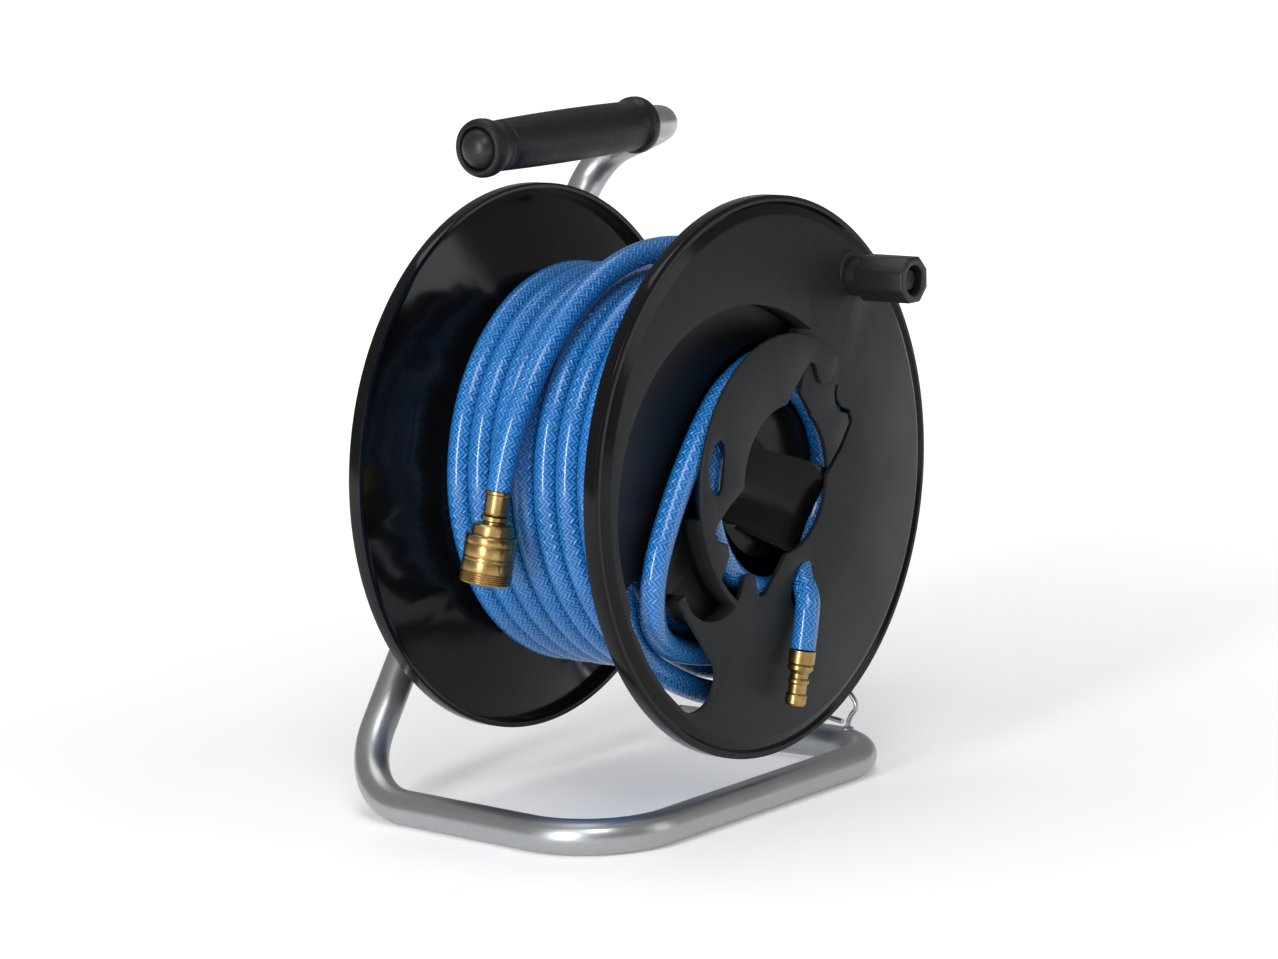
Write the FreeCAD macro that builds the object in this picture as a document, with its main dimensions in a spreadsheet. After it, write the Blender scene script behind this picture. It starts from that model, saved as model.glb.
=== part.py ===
"""Portable drum for a compressed-air hose on a bent tube stand. Millimetres, +Z up, the ground is z = 0.

The drum turns about an axis along Y and its winding knob is on the -Y side, which is the front.
Lengths along the axle are measured from the middle of the drum, and heights of drum parts from its axle.
Every cell of the sheet is a driving size, and each sub-part reads its sizes from the sheet by formula.
"""
import FreeCAD, Part
import math
import os
import re

import Sketcher

Vector = FreeCAD.Vector

SIZES = {
    # the drum's place over the ground, chosen so that the row's origin is under the middle of its box
    "axle_side": 0, "axle_depth": -1.95, "axle_height": 163,
    # stand, one bent tube
    "tube_radius": 8.6, "tube_wall": 1.6, "axle_hole": 6.2,
    "upright_depth": 100, "upright_lean": 0.7174, "upright_top": 138,
    "grip_depth": 40, "grip_height": 160, "grip_end": -68, "grip_corner": 85,
    "foot_front": -68, "foot_left": -128, "foot_right": 107, "foot_back": 60,
    # grip sleeve, from its capped end at -X to the open end
    "grip_start": -69, "grip_stop": 57, "grip_radius": 12.2, "grip_belly": 12.9, "collar_radius": 14.2,
    # axle
    "axle_radius": 6, "bush_bore": 6.05, "bush_radius": 10, "hub_radius": 15,
    "saddle_front": 84.6, "saddle_back": 111, "axle_end": -55,
    # drum mouldings
    "skin": 2.4, "flange_radius": 135, "rim_front": -74.2, "rim_back": 74.2,
    "field_front": -84, "field_radius": 126, "field_edge": -75.5, "seat_radius": 72,
    "pocket_radius": 66, "pocket_floor": -38,
    "trough_front": -71, "trough_radius": 92, "trough_shift": 30, "trough_turn": 190,
    "scallop_side": -56.5, "scallop_height": -36.5, "scallop_radius": 22.7,
    "slot_middle": 110, "slot_radius": 14,
    "core_radius": 76.2, "core_front": -68.6, "core_back": 52.2, "screw_circle": 60,
    "mouth_radius": 36, "retainer_radius": 70, "boss_radius": 38, "boss_front": -72,
    "saddle_front_face": -81.4,
    # winding knob
    "knob_circle": 113, "knob_turn": 52, "knob_seat": -79.3, "knob_base": -85.6, "knob_end": -113.5,
    "knob_flats": 22, "spindle_radius": 5.5, "stub_radius": 9.5,
    # hose, twelve millimetres over its braid
    "hose_radius": 6, "winding_inner": 76.4, "winding_outer": 100.2, "winding_front": -68.4,
    "winding_back": 52.1, "coil_inner": 38.4, "coil_outer": 63.4, "coil_front": -80.4, "coil_back": -51,
}

doc = FreeCAD.newDocument("hose_drum")
sheet = doc.addObject("Spreadsheet::Sheet", "Sizes")
for row, (word, number) in enumerate(SIZES.items(), start=1):
    sheet.set("A%d" % row, word)
    sheet.set("B%d" % row, str(number))
    sheet.setAlias("B%d" % row, word)
doc.recompute()

NODES = {}


def size(formula):
    """The number that a formula of the sheet's cells gives."""
    return float(sheet.evalExpression(str(formula)))


def bound(formula):
    """The formula as other objects have to write it, with the sheet's name before each cell."""
    return re.sub(r"[a-z_]+", lambda w: "Sizes." + w.group() if w.group() in SIZES else w.group(),
                  str(formula))


def polar(radius, degrees):
    """A point across the drum: degrees from +X towards +Z."""
    return radius * math.cos(math.radians(degrees)), radius * math.sin(math.radians(degrees))


def named(thing, label):
    """Makes an object one of the row's nodes."""
    thing.Label = label
    NODES[label] = thing
    return thing


def put(thing, side=0, depth=0, height=0, turn=None):
    """Places a sub-part by its offset from the drum's middle."""
    if turn is not None:
        thing.Placement = FreeCAD.Placement(Vector(0, 0, 0), turn)
    thing.setExpression("Placement.Base.x", bound("axle_side + (%s)" % side))
    thing.setExpression("Placement.Base.y", bound("axle_depth + (%s)" % depth))
    thing.setExpression("Placement.Base.z", bound("axle_height + (%s)" % height))
    return thing


def new_body(name):
    return doc.addObject("PartDesign::Body", name)


def new_sketch(body, role):
    plane = [part for part in body.Origin.OriginFeatures if part.Role == role][0]
    sketch = body.newObject("Sketcher::SketchObject", body.Name + "_sketch")
    sketch.AttachmentSupport = (plane, [""])
    sketch.MapMode = "FlatFace"
    return sketch


def hold(sketch, kind, where, formula, *more):
    """Adds a dimension and ties it to the sheet."""
    number = sketch.addConstraint(Sketcher.Constraint(kind, *where, size(formula)))
    sketch.setExpression("Constraints[%d]" % number, bound(formula))


def outline(sketch, points):
    """A closed line through points, each given as two formulas."""
    first = sketch.GeometryCount
    count = len(points)
    places = [Vector(size(across), size(along), 0) for across, along in points]
    for index in range(count):
        sketch.addGeometry(Part.LineSegment(places[index], places[(index + 1) % count]), False)
    for index in range(count):
        sketch.addConstraint(Sketcher.Constraint("Coincident", first + index, 2,
                                                 first + (index + 1) % count, 1))
    for index, (across, along) in enumerate(points):
        hold(sketch, "DistanceX", (-1, 1, first + index, 1), across)
        hold(sketch, "DistanceY", (-1, 1, first + index, 1), along)


def ring(sketch, radius, across=0, along=0):
    """A circle whose radius and middle are formulas."""
    middle = Vector(size(across), size(along), 0)
    circle = sketch.addGeometry(Part.Circle(middle, Vector(0, 0, 1), size(radius)), False)
    hold(sketch, "DistanceX", (-1, 1, circle, 3), across)
    hold(sketch, "DistanceY", (-1, 1, circle, 3), along)
    hold(sketch, "Radius", (circle,), radius)


def turned(name, points):
    """A body turned about its own Y axis from an outline of (radius, along) formulas."""
    body = new_body(name)
    sketch = new_sketch(body, "XY_Plane")
    outline(sketch, points)
    spun = body.newObject("PartDesign::Revolution", name + "_turned")
    spun.Profile = sketch
    spun.ReferenceAxis = (sketch, ["V_Axis"])
    spun.Angle = 360
    doc.recompute()
    return body


def grown(body, sketch, start, stop, kind="Pad"):
    """Pads or pockets an XZ sketch between two stations along Y and checks that it changed the body."""
    before = body.Shape.Volume if body.Shape.Solids else 0
    feature = body.newObject("PartDesign::" + kind, sketch.Name + "_" + kind.lower())
    feature.Profile = sketch
    sketch.setExpression("AttachmentOffset.Base.z", bound("-(%s)" % start))
    feature.setExpression("Length", bound("(%s) - (%s)" % (stop, start)))
    feature.Reversed = kind == "Pad"
    sketch.Visibility = False
    doc.recompute()
    after = body.Shape.Volume
    if (after <= before) == (kind == "Pad"):
        raise RuntimeError("%s did not change %s: %.1f to %.1f" % (feature.Name, body.Name, before, after))
    return feature


def prism(name, points, start, stop):
    """A body padded along Y from an outline of (side, height) formulas."""
    body = new_body(name)
    sketch = new_sketch(body, "XZ_Plane")
    outline(sketch, points)
    grown(body, sketch, start, stop)
    return body


def rod(name, radius, start, stop, side=0, height=0):
    """A Part cylinder along Y between two stations, for booleans."""
    cylinder = doc.addObject("Part::Cylinder", name)
    cylinder.Placement = FreeCAD.Placement(Vector(0, 0, 0), FreeCAD.Rotation(Vector(1, 0, 0), -90))
    cylinder.setExpression("Radius", bound(radius))
    cylinder.setExpression("Height", bound("(%s) - (%s)" % (stop, start)))
    cylinder.setExpression("Placement.Base.x", bound(side))
    cylinder.setExpression("Placement.Base.y", bound(start))
    cylinder.setExpression("Placement.Base.z", bound(height))
    return cylinder


def joined(name, *things):
    result = doc.addObject("Part::MultiFuse", name)
    result.Shapes = list(things)
    return result


def shared(name, *things):
    result = doc.addObject("Part::MultiCommon", name)
    result.Shapes = list(things)
    return result


def minus(name, base, tool):
    result = doc.addObject("Part::Cut", name)
    result.Base = base
    result.Tool = tool
    return result


def regular(flats, sides, turn=0):
    """Formulas of a regular outline's corners, from its width over two flats."""
    step = 360 / sides
    across = "(%s) / 2 / cos(%s)" % (flats, step / 2)
    angles = [turn + step * (index + 0.5) for index in range(sides)]
    return [("%s * cos(%s)" % (across, angle), "%s * sin(%s)" % (across, angle)) for angle in angles]


# --- bent tubes and hose runs -------------------------------------------------------------------------


def rounded_route(points, radii=None):
    """A wire of straight runs and tangent arcs. Without radii, each arc is as large as its two runs allow."""
    places = [Vector(*point) for point in points]
    edges = []
    used = []
    start = places[0]
    for index in range(1, len(places) - 1):
        back = places[index - 1] - places[index]
        ahead = places[index + 1] - places[index]
        half = (math.pi - back.getAngle(ahead)) / 2
        radius = radii[index - 1] if radii else 0.45 * min(back.Length, ahead.Length) / math.tan(half)
        reach = radius * math.tan(half)
        enter = places[index] + Vector(back).normalize() * reach
        leave = places[index] + Vector(ahead).normalize() * reach
        inwards = (Vector(back).normalize() + Vector(ahead).normalize()).normalize()
        middle = places[index] + inwards * (radius / math.cos(half) - radius)
        edges.append(Part.LineSegment(start, enter).toShape())
        edges.append(Part.Arc(enter, middle, leave).toShape())
        used.append(radius)
        start = leave
    edges.append(Part.LineSegment(start, places[-1]).toShape())
    return Part.Wire(edges), used


def swept(wire, radius):
    """A round bar along a wire."""
    first = wire.Edges[0]
    direction = first.tangentAt(first.FirstParameter)
    section = Part.Wire(Part.makeCircle(radius, first.valueAt(first.FirstParameter), direction))
    return wire.makePipeShell([section], True, True)


def laid(label, points, radius, radii=None):
    """A node made of one round bar along a route, placed with the drum."""
    wire, used = rounded_route(points, radii)
    bar = swept(wire, radius)
    ideal = math.pi * radius ** 2 * wire.Length
    print("%-18s length %7.1f, least bend %5.1f, volume / ideal %.4f"
          % (label, wire.Length, min(used) if used else 0, bar.Volume / ideal))
    node = doc.addObject("Part::Feature", label)
    node.Shape = bar
    return put(named(node, label))


# --- stand --------------------------------------------------------------------------------------------


def stand_points():
    """The corners of the tube's centreline, from the grip's end to the hidden foot."""
    lean, depth, top = size("upright_lean"), size("upright_depth"), size("upright_top")
    ground = size("tube_radius - axle_height")
    grip_depth, grip_height = size("grip_depth"), size("grip_height")
    return [
        (size("grip_end"), grip_depth, grip_height),
        (size("grip_corner"), grip_depth, grip_height),
        (lean * top, depth, top),
        (lean * ground, depth, ground),
        (size("foot_left"), size("foot_front"), ground),
        (size("foot_right"), size("foot_front"), ground),
        (size("foot_right"), size("foot_back"), ground),
    ]


def make_stand():
    bends = [24, 26, 40, 42, 38]
    wire, used = rounded_route(stand_points(), bends)
    outer = swept(wire, size("tube_radius"))
    inner = swept(wire, size("tube_radius - tube_wall"))
    cross_hole = Part.makeCylinder(size("axle_hole"), 40, Vector(0, size("upright_depth") - 20, 0),
                                   Vector(0, 1, 0))
    tube = doc.addObject("Part::Feature", "frame_tube")
    tube.Shape = outer.cut(inner).cut(cross_hole)
    put(named(tube, "frame_tube"))
    print("frame_tube length %.0f, bends %s" % (wire.Length, used))

    along_x = FreeCAD.Rotation(Vector(0, 0, 1), -90)
    start, stop, wall = "grip_start", "grip_stop", "tube_radius + 0.05"
    middle = "(grip_start + grip_stop) / 2"
    grip = turned("grip", [
        ("collar_radius - 2.4", start + " - 3"), ("collar_radius", start + " - 1.5"),
        ("collar_radius", start + " + 7"), ("grip_radius", start + " + 9"),
        ("grip_radius", start + " + 13"), ("grip_radius - 0.8", start + " + 13.6"),
        ("grip_radius - 0.8", start + " + 15.4"), ("grip_radius", start + " + 16"),
        ("grip_belly", middle + " - 18"), ("grip_belly", middle + " + 18"),
        ("grip_radius", stop + " - 9"), ("collar_radius", stop + " - 7"), ("collar_radius", stop + " - 1"),
        ("collar_radius - 1", stop), (wall, stop), (wall, start + " + 1"),
        ("collar_radius - 2.4", start + " + 1")])
    put(named(grip, "handle_grip"), 0, "grip_depth", "grip_height", along_x)
    cap = turned("grip_cap", [
        (0, start + " - 5.4"), ("collar_radius - 8", start + " - 5"),
        ("collar_radius - 4.4", start + " - 3.6"),
        ("collar_radius - 2.5", start + " - 1.6"), ("collar_radius - 2.5", start + " + 0.9"),
        (0, start + " + 0.9")])
    put(named(cap, "grip_end_cap"), 0, "grip_depth", "grip_height", along_x)

    plug = turned("foot_cap", [
        (0, 5.2), ("tube_radius - 3.4", 5), ("tube_radius - 0.4", 3.4), ("tube_radius - 0.1", 2.6),
        ("tube_radius - 0.1", 0.05), ("tube_radius - tube_wall - 0.05", 0.05),
        ("tube_radius - tube_wall - 0.05", -12), ("tube_radius - tube_wall - 1.8", -12),
        ("tube_radius - tube_wall - 1.8", -1), (0, -1)])
    put(named(plug, "foot_end_cap"), "foot_right", "foot_back", "tube_radius - axle_height")

    foot, top = size("foot_right"), size("2 * tube_radius - axle_height")
    laid("wire_eye", [
        (foot - 3, -45, top - 0.5), (foot - 3, -46, top + 5.5), (foot - 2, -51, top + 12),
        (foot - 2, -45, top + 20), (foot - 2, -33, top + 20), (foot - 2, -18, top + 17),
        (foot - 2, -16, top + 9), (foot - 2, -26, top + 5.4), (foot - 6.5, -44.5, top + 4.4)],
        1.3)


def make_axle():
    bolt = turned("axle", [
        (0, "axle_end"), ("axle_radius - 1", "axle_end"), ("axle_radius", "axle_end + 1"),
        ("axle_radius", "saddle_back"), (0, "saddle_back")])
    head = new_sketch(bolt, "XZ_Plane")
    outline(head, regular(18, 6))
    grown(bolt, head, "saddle_back", "saddle_back + 6.4")
    put(named(bolt, "axle_bolt"))

    for label, start, stop, radius in (
            ("saddle_washer", "upright_depth", "saddle_back", 11),
            ("saddle_spacer", "saddle_front", "upright_depth", 12)):
        blank = minus(label + "_blank", rod(label + "_round", radius, start, stop),
                      rod(label + "_bore", "axle_radius + 0.1", start + " - 1", stop + " + 1"))
        bar = doc.addObject("Part::Cylinder", label + "_tube")
        lean = FreeCAD.Rotation(Vector(0, 0, 1), Vector(size("upright_lean"), 0, 1))
        bar.Placement = FreeCAD.Placement(lean.multVec(Vector(0, 0, -20)), lean)
        bar.setExpression("Placement.Base.y", bound("upright_depth"))
        bar.setExpression("Radius", bound("tube_radius + 0.02"))
        bar.Height = 40
        put(named(minus(label, blank, bar), label))

    def washer(label, inner, outer, start, stop):
        put(named(turned(label + "_body", [(inner, start), (outer, start), (outer, stop), (inner, stop)]),
                  label))

    washer("thrust_washer", "axle_radius + 0.1", 14, "saddle_front - 1.6", "saddle_front - 0.02")
    washer("front_washer", "axle_radius + 0.1", 13, "pocket_floor - 3.7", "pocket_floor - 2.1")

    nut = prism("nut", regular(18, 6), "pocket_floor - 13.8", "pocket_floor - 3.72")
    bore = new_sketch(nut, "XZ_Plane")
    ring(bore, "axle_radius + 0.02")
    grown(nut, bore, "pocket_floor - 14", "pocket_floor", "Pocket")
    put(named(nut, "lock_nut"))

    def bush(label, face, end, out):
        """A flanged plain bearing, its flange outside the face."""
        lip = "%s + (%s)" % (face, 1.8 * out)
        body = turned(label + "_body", [
            ("bush_bore", end), ("bush_radius", end), ("bush_radius", face), (14, face), (14, lip),
            ("bush_bore", lip)])
        put(named(body, label))

    bush("front_bush", "pocket_floor", "pocket_floor + 24", -1)
    bush("rear_bush", "saddle_front - 3.8", "core_back + 3", 1)


# --- drum ---------------------------------------------------------------------------------------------


def sector(name, first, last, start, stop):
    """A wide prism between two directions across the drum, less than half a turn apart."""
    reach = 260
    middle = (first + last) / 2
    corners = [(0, 0), polar(reach, first), polar(reach * 1.6, middle), polar(reach, last)]
    return prism(name, corners, start, stop)


def screw_places(reach="screw_circle"):
    return [("(%s) * cos(%s)" % (reach, angle), "(%s) * sin(%s)" % (reach, angle))
            for angle in (22.5, 112.5, 202.5, 292.5)]


def make_front_flange():
    """A dished disc with the hub pocket, the hose trough that spirals into it, and the web before the pocket."""
    back = "field_front + skin"
    shell = turned("front_shell", [
        ("bush_radius + 0.02", "pocket_floor"), ("pocket_radius", "pocket_floor"),
        ("pocket_radius", "field_front"),
        ("seat_radius", "field_front"), ("field_radius", "field_edge"),
        ("flange_radius - 4.5", "rim_front + 1.2"),
        ("flange_radius - 3", "rim_front"), ("flange_radius - 1", "rim_front"),
        ("flange_radius", "rim_front + 1"),
        ("flange_radius", "rim_front + 7.4"), ("flange_radius - 2.4", "rim_front + 7.4"),
        ("flange_radius - 3.4", "rim_front + 3.6"), ("field_radius", "field_edge + skin"),
        ("core_radius", back + " + 0.6"), ("core_radius", "core_front - 0.02"),
        ("core_radius - skin", "core_front - 0.02"), ("core_radius - skin", back),
        ("pocket_radius + skin", back), ("pocket_radius + skin", "pocket_floor + skin"),
        ("hub_radius", "pocket_floor + skin"), ("hub_radius", "pocket_floor + 24"),
        ("bush_radius + 0.02", "pocket_floor + 24")])

    # web: the ring before the pocket on the +X side, with its nose, its lobe and the slits round them
    web = new_body("front_web")
    face = new_sketch(web, "XZ_Plane")
    ring(face, "pocket_radius + 0.5")
    ring(face, "mouth_radius")
    grown(web, face, "field_front", "field_front + skin")
    away = new_sketch(web, "XZ_Plane")
    outline(away, [
        (12, 10), (23.5, 28.5), (9.5, 46), (9, 75), (-80, 80), (-80, -62), (-44, -57), (-43, -49),
        (-40, -43.5), (-35, -41),
        (-29, -41), (-25.5, -43.5), (-24.5, -50), (-22, -53.5), (-18, -53), (3, -33.5)])
    grown(web, away, "field_front - 1", "field_front + skin + 1", "Pocket")
    nose = new_sketch(web, "XZ_Plane")
    outline(nose, [
        (44, 40), (42.2, 36), (43, 31), (46.5, 26.5), (53, 24.5), (54.5, 20), (47, 10.6), (34, -1),
        (34, -4.5),
        (49, 9), (57.5, 19.8), (55.5, 26), (48.5, 28.5), (45.2, 32), (44.5, 36), (46, 39.4)])
    grown(web, nose, "field_front - 1", "field_front + skin + 1", "Pocket")
    exit_hole = new_sketch(web, "XZ_Plane")
    outline(exit_hole, [(3, -52), (6, -46.5), (11, -42.5), (17.5, -41.5), (21.5, -46), (20.2, -57),
                        (15.5, -62.4), (7, -63.5), (3.2, -59.5)])
    grown(web, exit_hole, "field_front - 1", "field_front + skin + 1", "Pocket")

    # trough: a round tray set off the axle, open to the pocket at the top left and slotted at its low end
    side = "trough_shift * cos(trough_turn)"
    height = "trough_shift * sin(trough_turn)"
    under = turned("under_field", [
        (0, "field_front"), ("seat_radius", "field_front"), ("field_radius", "field_edge"),
        ("flange_radius - 4.5", "rim_front + 1.2"), ("flange_radius - 4.5", "trough_front + skin - 0.1"),
        (0, "trough_front + skin - 0.1")])
    tray = shared("tray",
                  rod("tray_round", "trough_radius + skin", "field_front - 1", "trough_front + skin - 0.1",
                              side, height),
                  under, sector("tray_sector", 68, 214, "field_front - 1", "trough_front + skin"))
    small_tray = shared("small_tray", rod("small_round", "scallop_radius + skin", "field_front - 1",
                                          "trough_front + skin - 0.1", "scallop_side", "scallop_height"),
                                          under)
    tray_hollow = minus("tray_ring", joined("trays", tray, small_tray),
                        rod("tray_centre", "pocket_radius", -100, 0))
    spiral = shared("trough_spiral",
                    rod("trough_round", "trough_radius", "field_front - 10", "trough_front",
                                         side, height),
                    sector("trough_sector", 70, 209, "field_front - 10", "trough_front"))
    hollow = joined("trough_hollow", spiral,
                    rod("scallop", "scallop_radius", "field_front - 10", "trough_front",
                                                 "scallop_side", "scallop_height"))
    wall = minus("kept_wall_ring", rod("kept_wall_outer", "pocket_radius + 2.6", "field_front", 0),
                 rod("kept_wall_inner", "pocket_radius", "field_front - 1", 1))
    kept = shared("kept_wall", wall, sector("kept_sector", 188, 233, "field_front", 0))
    ends = [polar(size("slot_middle"), angle) for angle in (-155, -127)]
    slot = joined("slot", *[
        rod("slot_end_%d" % index, "slot_radius", "trough_front - 20", "trough_front + 10", *end)
        for index, end in enumerate(ends)], prism("slot_middle_part", [
            polar(size("slot_middle - slot_radius"), -155), polar(size("slot_middle + slot_radius"), -155),
            polar(size("slot_middle + slot_radius"), -144), polar(size("slot_middle + slot_radius"), -135),
            polar(size("slot_middle + slot_radius"), -127),
            polar(size("slot_middle - slot_radius"), -127)],
            "trough_front - 20", "trough_front + 10"))
    cavity = joined("cavity", minus("open_trough", hollow, kept), slot)
    seat_side, seat_height = "knob_circle * cos(knob_turn)", "knob_circle * sin(knob_turn)"
    seat = rod("knob_pad", 12.5, "knob_seat", "field_edge + 1.9", seat_side, seat_height)
    holes = joined("front_holes", rod("knob_hole", 4.1, "knob_seat - 1", -60, seat_side, seat_height), *[
        rod("front_screw_hole_%d" % index, 1.9, "pocket_floor - 1", "pocket_floor + 6", *place)
        for index, place in enumerate(screw_places())])
    solid = joined("front_solid", shell, web, tray_hollow, seat)
    flange = minus("front_flange", minus("front_open", solid, cavity), holes)
    put(named(flange, "front_flange"))


def make_rear_flange():
    """A dished disc, hollow behind, with the rear hub and eight ribs."""
    flange = turned("rear_shell", [
        ("bush_radius + 0.02", "core_back + 0.1"), ("core_radius + 4", "core_back + 0.1"),
        ("field_radius + 2", "rim_back - 4.6"), ("flange_radius - 3", "rim_back - 3"),
        ("flange_radius - 2.4", "rim_back - 7.4"), ("flange_radius", "rim_back - 7.4"),
        ("flange_radius", "rim_back - 1"), ("flange_radius - 1", "rim_back"),
        ("flange_radius - 3", "rim_back"),
        ("field_radius + 1.5", "rim_back - 2.1"), ("core_radius + 3.4", "core_back + 0.1 + skin"),
        ("hub_radius", "core_back + 0.1 + skin"), ("hub_radius", "saddle_front - 3.82"),
        ("bush_radius + 0.02", "saddle_front - 3.82")])
    rib_outline = new_sketch(flange, "XY_Plane")
    outline(rib_outline, [
        ("hub_radius - 1", "core_back + 1"), ("hub_radius - 1", "saddle_front - 6"),
        ("core_radius", "core_back + 12"), ("field_radius - 8", "rim_back - 4.5"),
        ("field_radius - 8", "rim_back - 6.5"), ("core_radius + 3", "core_back + 1")])
    rib = flange.newObject("PartDesign::Pad", "rib")
    rib.Profile = rib_outline
    rib.Midplane = True
    rib.Length = 2.4
    doc.recompute()
    ribs = flange.newObject("PartDesign::PolarPattern", "ribs")
    ribs.Originals = [rib]
    ribs.Axis = (rib_outline, ["V_Axis"])
    ribs.Angle = 360
    ribs.Occurrences = 8
    flange.Tip = ribs
    doc.recompute()
    holes = new_sketch(flange, "XZ_Plane")
    for place in screw_places():
        ring(holes, 1.9, *place)
    grown(flange, holes, "core_back - 1", "core_back + 12", "Pocket")
    put(named(flange, "rear_flange"))


def make_core():
    """The tube that the hose is wound on, its web and the four screw posts."""
    web = "pocket_floor + skin + 0.1"
    core = turned("core", [
        ("core_radius - skin", "core_front"), ("core_radius", "core_front"), ("core_radius", "core_back"),
        ("core_radius - skin", "core_back"), ("core_radius - skin", web + " + skin"),
        ("hub_radius + 0.2", web + " + skin"), ("hub_radius + 0.2", web), ("core_radius - skin", web)])
    posts = new_sketch(core, "XZ_Plane")
    for place in screw_places():
        ring(posts, 5, *place)
    grown(core, posts, web, "core_back")
    holes = new_sketch(core, "XZ_Plane")
    for place in screw_places():
        ring(holes, 1.62, *place)
    grown(core, holes, web + " - 1", "core_back + 1", "Pocket")
    put(named(core, "drum_core"))


def make_screws():
    """Pan-head screws that hold the two flanges to the core's posts."""
    for label, face, end, out in (
            ("front_flange_screws", "pocket_floor", "pocket_floor + 18", -1),
            ("rear_flange_screws", "core_back + 0.1 + skin", "core_back - 14", 1)):
        group = doc.addObject("Part::Compound", label)
        links = []
        for index, place in enumerate(screw_places()):
            lip = "%s + (%s)" % (face, out)
            body = turned("%s_%d" % (label, index), [
                (0, end), (1.6, end), (1.6, face), (3.6, face), (3.6, lip),
                (2.6, lip + " + (%s)" % (out * 1.2)),
                (0, lip + " + (%s)" % (out * 1.5))])
            body.setExpression("Placement.Base.x", bound(place[0]))
            body.setExpression("Placement.Base.z", bound(place[1]))
            links.append(body)
        group.Links = links
        put(named(group, label))


def make_hub():
    """The boss over the axle's nut, with the saddle that climbs from it to the mouth, and the crescent plate."""
    low = minus("boss_shell", rod("boss_round", "boss_radius", "boss_front", "pocket_floor - 0.02"),
                rod("boss_room", "boss_radius - skin - 0.6", "boss_front + 12", "pocket_floor + 1"))
    saddle = prism("saddle_block",
                   [(-12, 18), (14, 9), (30, 3), (42, -2), (42, -42), (8, -38), (-24, -21)],
                   "saddle_front_face", "boss_front + 4")
    raised = shared("saddle", saddle,
                    rod("saddle_round", "boss_radius", "saddle_front_face - 1", "boss_front + 5"))
    channel = doc.addObject("Part::Cylinder", "boss_channel")
    run = polar(1, -27)
    across = FreeCAD.Rotation(Vector(0, 0, 1), Vector(run[0], -0.26, run[1]))
    middle = polar(-6.5, 63)
    reach, channel_radius = 60, 32
    bottom = size("boss_front") + 4
    start = Vector(middle[0], bottom - channel_radius, middle[1]) + across.multVec(Vector(0, 0, -reach))
    channel.Placement = FreeCAD.Placement(start, across)
    channel.Radius = channel_radius
    channel.Height = 2 * reach
    put(named(minus("hub_boss", joined("boss_and_saddle", low, raised), channel), "hub_boss"))

    crescent = new_body("crescent")
    face = new_sketch(crescent, "XZ_Plane")
    ring(face, "retainer_radius")
    ring(face, "mouth_radius")
    grown(crescent, face, "field_front - skin - 0.02", "field_front - 0.02")
    away = new_sketch(crescent, "XZ_Plane")
    outline(away, [
        (0, 0), (-2.5, 34), (8, 44), (17, 52), (21, 54), (24.5, 52), (26, 47), (29, 42.5), (34, 42),
        (39.5, 45),
        (43, 49.5), (44.5, 57), (60, 90), (130, 60), (130, -130), (-70, -130), (-59, -43), (-55, -37),
        (-49, -29),
        (-50, -23), (-57, -20.5), (-60, -17), (-58, -13), (-49, -6), (-34.5, 2)])
    grown(crescent, away, "field_front - skin - 1", "field_front + 1", "Pocket")
    oval = new_sketch(crescent, "XZ_Plane")
    outline(oval, [(-63, 7), (-64, 14), (-62, 20), (-59, 25), (-54, 27), (-50.5, 24), (-50, 19), (-51, 10),
                   (-52.5, 4), (-56, 1), (-60.5, 2)])
    grown(crescent, oval, "field_front - skin - 1", "field_front + 1", "Pocket")
    put(named(crescent, "hose_retainer"))


def make_knob():
    side, height = "knob_circle * cos(knob_turn)", "knob_circle * sin(knob_turn)"
    spindle = turned("spindle", [
        (0, "knob_end + 6.4"), ("spindle_radius", "knob_end + 6.4"), ("spindle_radius", "knob_base + 0.3"),
        ("stub_radius", "knob_base + 0.3"), ("stub_radius", "knob_seat - 0.02"), (4, "knob_seat - 0.02"),
        (4, "knob_seat + 11"), (0, "knob_seat + 11")])
    hole = new_sketch(spindle, "XZ_Plane")
    ring(hole, 1.9)
    grown(spindle, hole, "knob_end", "knob_end + 18", "Pocket")
    put(named(spindle, "knob_spindle"), side, 0, height)
    nut = prism("spindle_nut_body", regular(13, 6), "field_edge + 1.92", "field_edge + 6.9")
    thread = new_sketch(nut, "XZ_Plane")
    ring(thread, 4.02)
    grown(nut, thread, "field_edge + 1", "field_edge + 8", "Pocket")
    put(named(nut, "spindle_nut"), side, 0, height)
    screw = turned("knob_screw_body", [
        (0, "knob_end + 2.6"), (4.6, "knob_end + 3"), (6.8, "knob_end + 4.6"), (6.8, "knob_end + 6.38"),
        (1.88, "knob_end + 6.38"), (1.88, "knob_end + 17.5"), (0, "knob_end + 17.5")])
    put(named(screw, "knob_screw"), side, 0, height)

    knob = prism("knob_body", regular("knob_flats", 8), "knob_end", "knob_base")
    for radius, start, stop in ((7.2, "knob_end - 1", "knob_end + 6.7"),
                                ("spindle_radius + 0.06", "knob_end", "knob_base + 1")):
        bore = new_sketch(knob, "XZ_Plane")
        ring(bore, radius)
        grown(knob, bore, start, stop, "Pocket")
    put(named(knob, "winding_knob"), side, 0, height)


# --- hose ---------------------------------------------------------------------------------------------

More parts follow.
